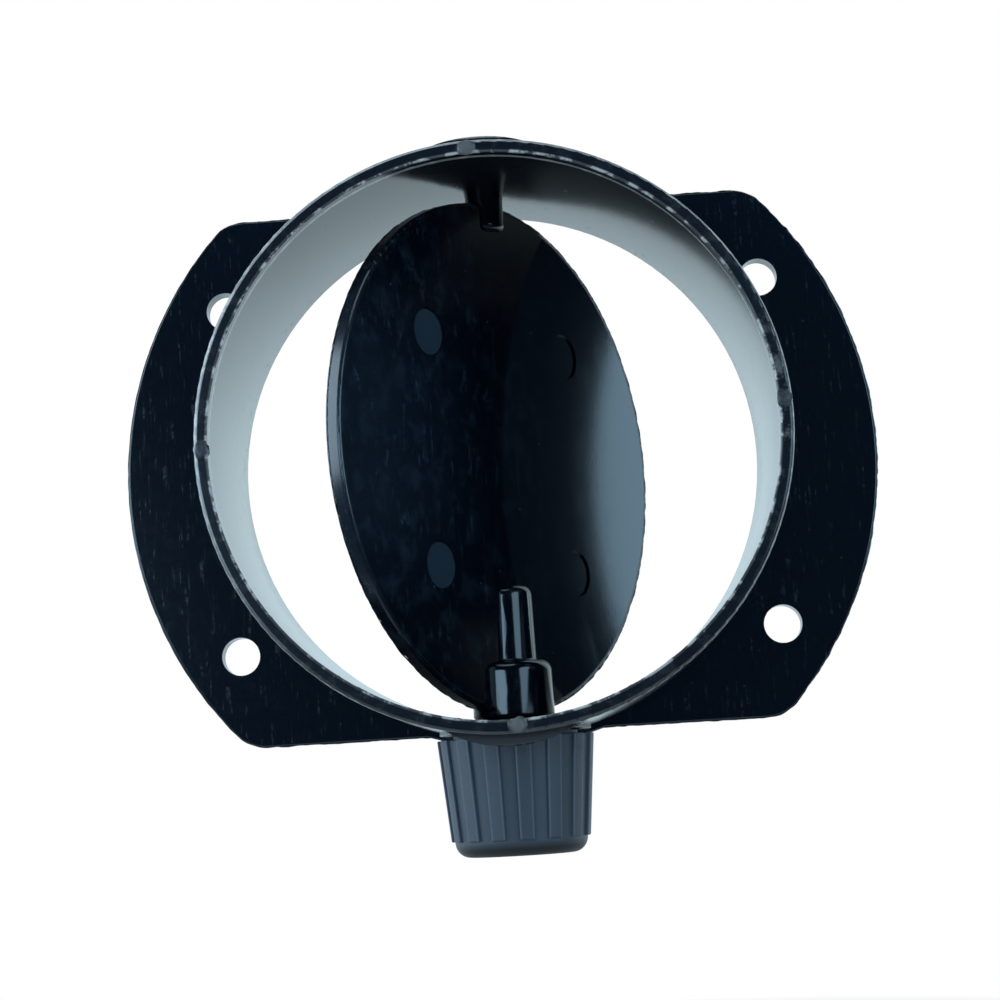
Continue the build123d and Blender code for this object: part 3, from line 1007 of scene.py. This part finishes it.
class DUCT_OT_stage(bpy.types.Operator):
    """Set the camera, the pale floor and the soft light"""

    bl_idname = "duct.stage"
    bl_label = "Stage"

    def execute(self, context):
        settings = context.scene.duct_stage
        self.add_camera(settings)
        self.add_floor(settings)
        self.add_world(settings)
        for name, (place, size, power, colour) in LAMPS.items():
            self.add_lamp(name, place, size, getattr(settings, power), getattr(settings, colour))
        context.scene.view_settings.view_transform = "Standard"
        return {"FINISHED"}

    def add_camera(self, settings):
        """The camera at the photograph's place, lens and roll."""
        data = bpy.data.cameras.new("camera")
        data.lens = settings.camera_lens
        data.clip_start = 10 * MM
        camera = new_object("camera", data)
        place = Vector(settings.camera_place)
        forward = (Vector(settings.camera_aim) - place).normalized()
        level = forward.cross(Vector((0.0, 0.0, 1.0))).normalized()
        upright = level.cross(forward)
        right = level * math.cos(settings.camera_roll) + upright * math.sin(settings.camera_roll)
        up = right.cross(forward)
        turn = Matrix((right, up, -forward)).transposed().to_4x4()
        camera.matrix_world = Matrix.Translation(place) @ turn
        bpy.context.scene.camera = camera

    def add_floor(self, settings):
        """A pale floor that keeps the part's shadow near it and is plain white further off."""
        half = settings.floor_size / 2
        level = knob_low.z - settings.floor_drop
        mesh = bpy.data.meshes.new("floor")
        mesh.from_pydata(
            [(-half, -half, level), (half, -half, level), (half, half, level), (-half, half, level)],
            [], [(0, 1, 2, 3)])
        floor = new_object("floor", mesh)
        material, tree, shader, place = new_material("pale_floor")
        shader.inputs["Base Color"].default_value = settings.floor_colour
        shader.inputs["Roughness"].default_value = 0.9
        reach = settings.shadow_reach / MM
        far = add_range(tree, add_reach(tree, place, (1.0, 1.0, 0.0)), reach * 0.5, reach)
        seen = add_math(tree, "MULTIPLY", self.add_seen(tree), far)
        behind = add_range(tree, add_axes(tree, place)["Y"], -0.5 * reach, 0.5 * reach)
        white = tree.nodes.new("ShaderNodeEmission")
        self.show_backdrop(tree, shader, white, seen, behind, settings)
        mesh.materials.append(material)

    def add_world(self, settings):
        """Even room light, with a white background that the camera and gloss see."""
        world = bpy.data.worlds.new("white_room")
        bpy.context.scene.world = world
        world.use_nodes = True
        tree = world.node_tree
        light = tree.nodes["Background"]
        light.inputs["Color"].default_value = WHITE
        light.inputs["Strength"].default_value = settings.room_light
        where = tree.nodes.new("ShaderNodeTexCoord")
        middle = (0.0, math.cos(settings.backdrop_rise), math.sin(settings.backdrop_rise))
        toward = add_vector(tree, "DOT_PRODUCT", where.outputs["Generated"], middle)
        edge = math.cos(settings.backdrop_reach)
        behind = add_range(tree, toward, edge - 0.03, edge + 0.03)
        white = tree.nodes.new("ShaderNodeBackground")
        self.show_backdrop(tree, light, white, self.add_seen(tree), behind, settings)

    def add_seen(self, tree):
        """One for rays that show the background, straight or in gloss or glass, and nought for light."""
        rays = tree.nodes.new("ShaderNodeLightPath")
        names = ("Is Camera Ray", "Is Glossy Ray", "Is Transmission Ray")
        return add_chain(tree, "MAXIMUM", *[rays.outputs[name] for name in names])

    def show_backdrop(self, tree, lit, white, seen, behind, settings):
        """Where the background is seen, shows it white to the camera, and in gloss dim before the part."""
        gloss = add_mix(tree, behind, settings.front_colour, settings.backdrop_colour)
        rays = tree.nodes.new("ShaderNodeLightPath")
        tree.links.new(add_mix(tree, rays.outputs["Is Camera Ray"], gloss, WHITE), white.inputs["Color"])
        mixed = tree.nodes.new("ShaderNodeMixShader")
        feed(tree, mixed.inputs, (seen, lit.outputs[0], white.outputs[0]))
        output = tree.get_output_node("ALL")
        tree.links.new(mixed.outputs[0], output.inputs["Surface"])

    def add_lamp(self, name, place, size, power, colour):
        """A soft lamp that faces the part."""
        data = bpy.data.lights.new(name, "AREA")
        data.shape = "ELLIPSE"
        data.size, data.size_y = size
        data.color = colour
        data.energy = power
        lamp = new_object(name, data)
        lamp.location = place
        lamp.rotation_euler = (-Vector(place)).to_track_quat("-Z", "Y").to_euler()


class DUCT_PT_panel(bpy.types.Panel):
    """Sizes, finishes and the steps that build the part"""

    bl_idname = "DUCT_PT_panel"
    bl_label = "Heater Duct Connector"
    bl_space_type = "VIEW_3D"
    bl_region_type = "UI"
    bl_category = "Duct Connector"

    def draw(self, context):
        for operator, group in STEPS:
            box = self.layout.box()
            box.operator(operator.bl_idname)
            settings = getattr(context.scene, group)
            for name in settings.__annotations__:
                box.prop(settings, name)


GROUPS = {
    "duct_body": BodySettings,
    "duct_flap": FlapSettings,
    "duct_knob": KnobSettings,
    "duct_screw": ScrewSettings,
    "duct_stage": StageSettings,
}
STEPS = (
    (DUCT_OT_body, "duct_body"),
    (DUCT_OT_flap, "duct_flap"),
    (DUCT_OT_knob, "duct_knob"),
    (DUCT_OT_screw, "duct_screw"),
    (DUCT_OT_stage, "duct_stage"),
)


def register():
    for name, group in GROUPS.items():
        bpy.utils.register_class(group)
        setattr(bpy.types.Scene, name, PointerProperty(type=group))
    for operator, _ in STEPS:
        bpy.utils.register_class(operator)
    bpy.utils.register_class(DUCT_PT_panel)


def unregister():
    bpy.utils.unregister_class(DUCT_PT_panel)
    for operator, _ in reversed(STEPS):
        bpy.utils.unregister_class(operator)
    for name, group in reversed(GROUPS.items()):
        delattr(bpy.types.Scene, name)
        bpy.utils.unregister_class(group)


def main():
    register()
    bpy.ops.duct.body()
    bpy.ops.duct.flap()
    bpy.ops.duct.knob()
    bpy.ops.duct.screw()
    bpy.ops.duct.stage()


if __name__ == "__main__":
    main()
